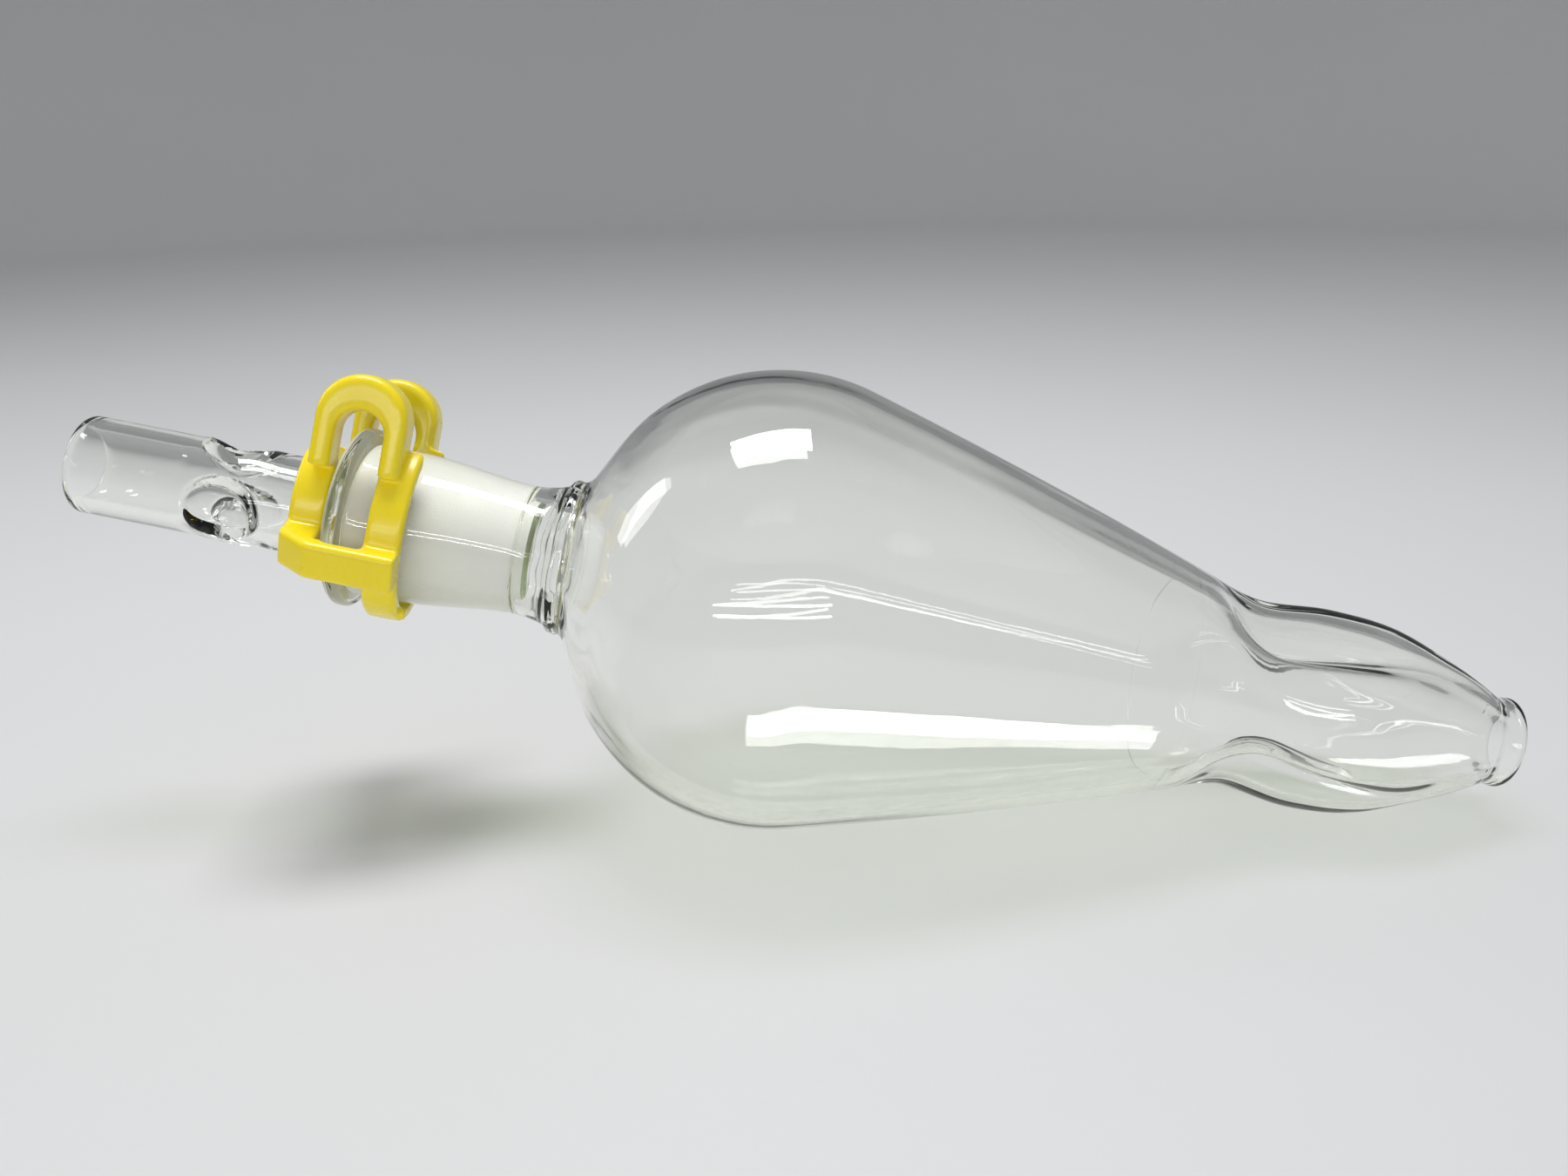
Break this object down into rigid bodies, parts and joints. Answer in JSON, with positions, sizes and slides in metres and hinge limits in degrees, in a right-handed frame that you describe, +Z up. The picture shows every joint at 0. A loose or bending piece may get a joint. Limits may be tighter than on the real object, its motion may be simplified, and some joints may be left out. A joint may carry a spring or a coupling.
{
  "type": "pear vessel with clipped taper-joint tube",
  "caption": "Blown glass pear vessel lying on its side, with a pinched mouth bulb and a dimpled tube adapter clipped into its ground taper neck.",
  "frame": {"origin": "centre of the bounding box on the surface that the lying vessel rests on", "axes": "+X towards the outlet stem, along the object's length; +Z up; the front, where the clip's window shows, faces -Y"},
  "size_m": [0.1756, 0.0558, 0.0572],
  "materials": {
    "clear_glass": "clear, fire-polished",
    "ground_glass": "ground, frosted",
    "clip_plastic": "moulded, glossy"
  },
  "bodies": {
    "vessel": {"socket_lip": "clear_glass", "ground_socket": "ground_glass", "neck_tube": "clear_glass", "seal_ring": "clear_glass", "pear_bulb": "clear_glass", "mouth_bulb": "clear_glass", "outlet_stem": "clear_glass"},
    "adapter": {"inlet_tube": "clear_glass", "dimpled_tube": "clear_glass", "cone_shoulder": "clear_glass", "ground_cone": "ground_glass"},
    "clip": {"joint_clip": "clip_plastic"}
  },
  "joints": [
    {"name": "adapter_turn", "type": "hinge", "parent": "vessel", "child": "adapter", "pos_m": [-0.04269, 0, 0.03619], "axis": [0.9789, 0, -0.2042], "continuous": true},
    {"name": "clip_turn", "type": "hinge", "parent": "vessel", "child": "clip", "pos_m": [-0.05282, 0, 0.03831], "axis": [0.9789, 0, -0.2042], "continuous": true}
  ]
}
